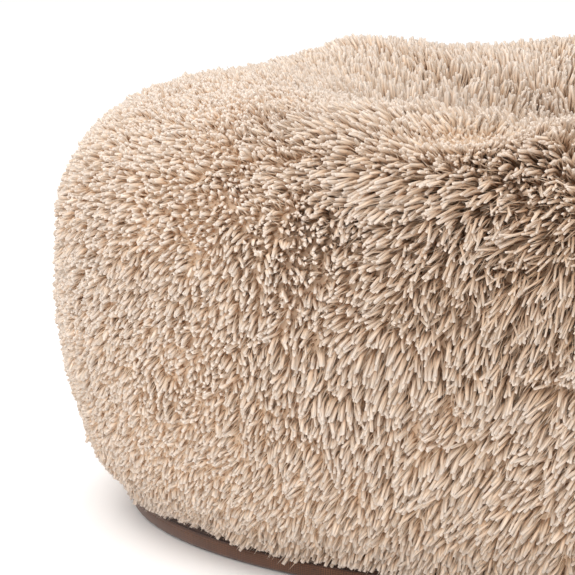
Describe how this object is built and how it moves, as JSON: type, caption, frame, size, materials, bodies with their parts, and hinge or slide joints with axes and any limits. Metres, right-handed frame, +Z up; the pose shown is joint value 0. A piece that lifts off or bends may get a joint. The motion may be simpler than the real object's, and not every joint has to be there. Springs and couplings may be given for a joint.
{
  "type": "pet cushion bed",
  "caption": "Round pet bed with a raised padded rim around a sunken cushion, covered in long shaggy faux fur, on a brown fabric base that opens with a zip.",
  "frame": {"origin": "centre of the base on the floor", "axes": "+Z up out of the nest; the front is towards -Y and the zip runs along X under the back of the base"},
  "size_m": [0.6, 0.6, 0.196],
  "materials": {
    "fur_pile": "long shaggy polyester pile, beige with darker brown roots",
    "liner_nonwoven": "thin white non-woven polypropylene",
    "fibre_fill": "loose white polyester fibre",
    "wadding": "bonded polyester wadding",
    "base_fabric": "matt dark brown plain weave",
    "zip_tape": "dark brown woven tape",
    "zip_coil": "dark brown nylon coil",
    "zip_metal": "dark lacquered zinc"
  },
  "bodies": {
    "bed": {"rim_fur_outer_back_right": "fur_pile", "rim_fur_outer_back_left": "fur_pile", "rim_fur_outer_front_left": "fur_pile", "rim_fur_outer_front_right": "fur_pile", "rim_fur_inner_back_right": "fur_pile", "rim_fur_inner_back_left": "fur_pile", "rim_fur_inner_front_left": "fur_pile", "rim_fur_inner_front_right": "fur_pile", "nest_fur": "fur_pile", "rim_liner_outer": "liner_nonwoven", "rim_liner_inner": "liner_nonwoven", "pad_liner_top": "liner_nonwoven", "pad_liner_bottom": "liner_nonwoven", "rim_fill": "fibre_fill", "pad_fill": "fibre_fill", "base_padding": "wadding", "base_gusset": "base_fabric", "base_panel_front": "base_fabric", "base_panel_back": "base_fabric", "zip_facing_front": "base_fabric", "zip_facing_back": "base_fabric", "zip_end_tab_left": "base_fabric", "zip_end_tab_right": "base_fabric", "zip_tape_front": "zip_tape", "zip_tape_back": "zip_tape", "zip_coil_front": "zip_coil", "zip_coil_back": "zip_coil", "zip_top_stops": "zip_metal", "zip_bottom_stop": "zip_metal"},
    "slider": {"zip_slider": "zip_metal"},
    "pull": {"zip_pull": "zip_metal"}
  },
  "joints": [
    {"name": "zip_slide", "type": "slide", "parent": "bed", "child": "slider", "axis": [-1, 0, 0], "range_m": [0, 0.368]},
    {"name": "pull_swing", "type": "hinge", "parent": "slider", "child": "pull", "pos_m": [0.1842, 0.07, 0.0017], "axis": [0, -1, 0], "range_deg": [0, 160]}
  ]
}
